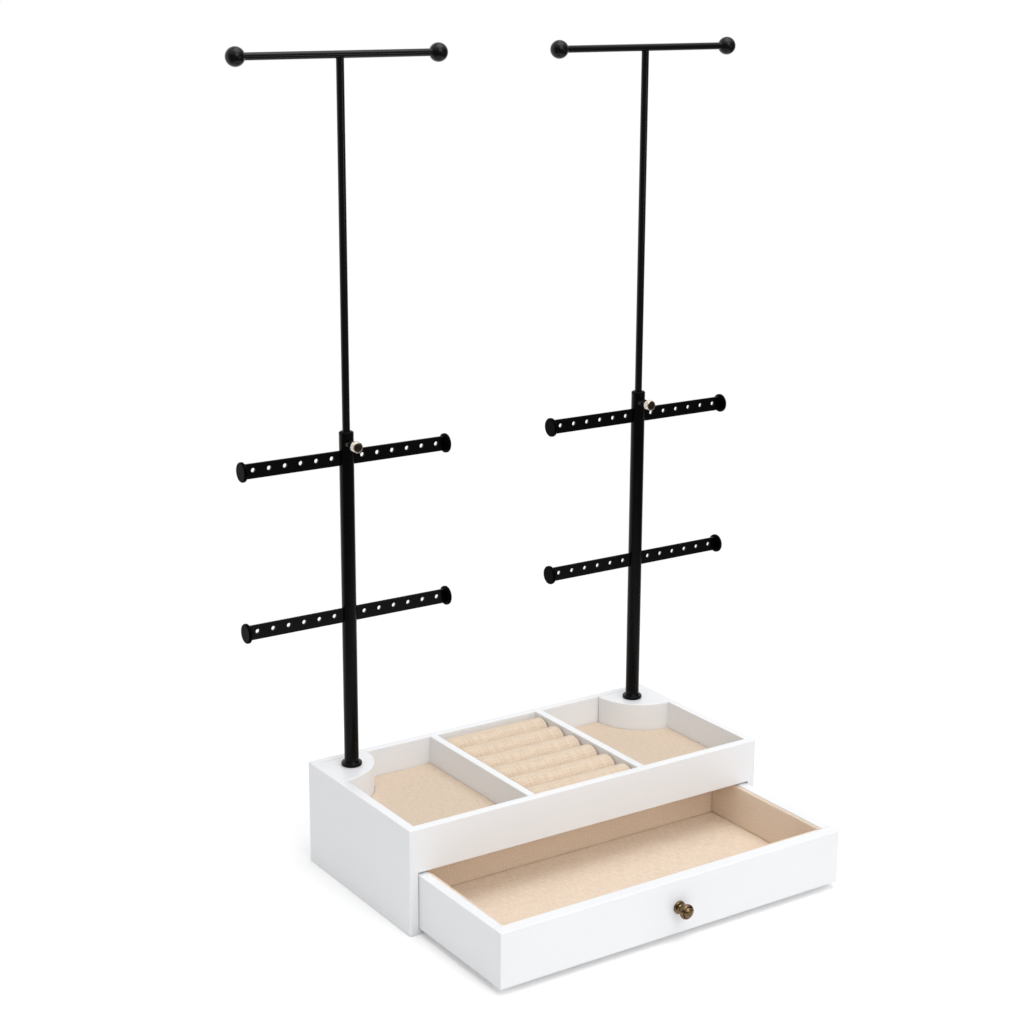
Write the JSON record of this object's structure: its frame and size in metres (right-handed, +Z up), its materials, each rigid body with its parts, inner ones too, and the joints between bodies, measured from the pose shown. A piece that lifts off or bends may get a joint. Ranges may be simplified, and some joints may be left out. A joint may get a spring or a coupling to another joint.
{
  "type": "jewellery stand with drawer",
  "caption": "White tabletop case with an open divided tray, ring rolls and a pull-out drawer, carrying black telescoping posts with perforated earring arms and necklace T-bars.",
  "frame": {"origin": "middle of the case's underside, on the surface that it stands on", "axes": "+X to the right as seen by the user, +Y to the back, +Z up; the drawer opens towards -Y"},
  "size_m": [0.4172, 0.257, 0.5846],
  "materials": {
    "white_paint": "satin white paint on fibreboard",
    "linen": "beige linen-like lining",
    "black_steel": "satin black powder coat",
    "black_plastic": "matt",
    "nickel": "bright nickel plating",
    "plain_steel": "zinc plated",
    "antique_brass": "antique bronze-brown"
  },
  "bodies": {
    "case": {"case_side_left": "white_paint", "case_side_right": "white_paint", "case_front_rail": "white_paint", "case_back_panel": "white_paint", "case_bottom_board": "white_paint", "tray_deck": "white_paint", "divider_left": "white_paint", "divider_right": "white_paint", "corner_block_left": "white_paint", "corner_block_right": "white_paint", "tray_liner_left": "linen", "tray_liner_right": "linen", "ring_pad_board": "linen", "ring_roll_1": "linen", "ring_roll_2": "linen", "ring_roll_3": "linen", "ring_roll_4": "linen", "ring_roll_5": "linen", "ring_roll_6": "linen", "tube_left": "black_steel", "collar_left": "black_steel", "clamp_boss_left": "black_steel", "lower_arm_outer_left": "black_steel", "lower_arm_inner_left": "black_steel", "upper_arm_outer_left": "black_steel", "upper_arm_inner_left": "black_steel", "end_discs_left": "black_steel", "plug_left": "plain_steel", "bush_left": "black_plastic", "tube_right": "black_steel", "collar_right": "black_steel", "clamp_boss_right": "black_steel", "lower_arm_outer_right": "black_steel", "lower_arm_inner_right": "black_steel", "upper_arm_outer_right": "black_steel", "upper_arm_inner_right": "black_steel", "end_discs_right": "black_steel", "plug_right": "plain_steel", "bush_right": "black_plastic", "base_screws": "plain_steel"},
    "drawer": {"drawer_front": "white_paint", "drawer_back": "white_paint", "drawer_bottom": "white_paint", "drawer_side_left": "white_paint", "drawer_side_right": "white_paint", "drawer_liner_floor": "linen", "drawer_liner_front": "linen", "drawer_liner_back": "linen", "drawer_liner_left": "linen", "drawer_liner_right": "linen", "drawer_knob": "antique_brass", "drawer_knob_screw": "plain_steel"},
    "rod_left": {"rod_left": "black_steel", "t_bar_left": "black_steel", "t_bar_balls_left": "black_steel"},
    "rod_right": {"rod_right": "black_steel", "t_bar_right": "black_steel", "t_bar_balls_right": "black_steel"},
    "thumbscrew_left": {"thumbscrew_left": "nickel"},
    "thumbscrew_right": {"thumbscrew_right": "nickel"}
  },
  "joints": [
    {"name": "drawer_slide", "type": "slide", "parent": "case", "child": "drawer", "axis": [0, -1, 0], "range_m": [-0.1005, 0.0145]},
    {"name": "rod_height_left", "type": "slide", "parent": "case", "child": "rod_left", "axis": [0, 0, 1], "range_m": [-0.182, 0.015]},
    {"name": "rod_height_right", "type": "slide", "parent": "case", "child": "rod_right", "axis": [0, 0, 1], "range_m": [-0.182, 0.015]},
    {"name": "thumbscrew_turn_left", "type": "hinge", "parent": "case", "child": "thumbscrew_left", "pos_m": [-0.126, 0.05, 0.315], "axis": [0, -1, 0], "range_deg": [0, 720]},
    {"name": "thumbscrew_turn_right", "type": "hinge", "parent": "case", "child": "thumbscrew_right", "pos_m": [0.126, 0.05, 0.315], "axis": [0, -1, 0], "range_deg": [0, 720]}
  ]
}
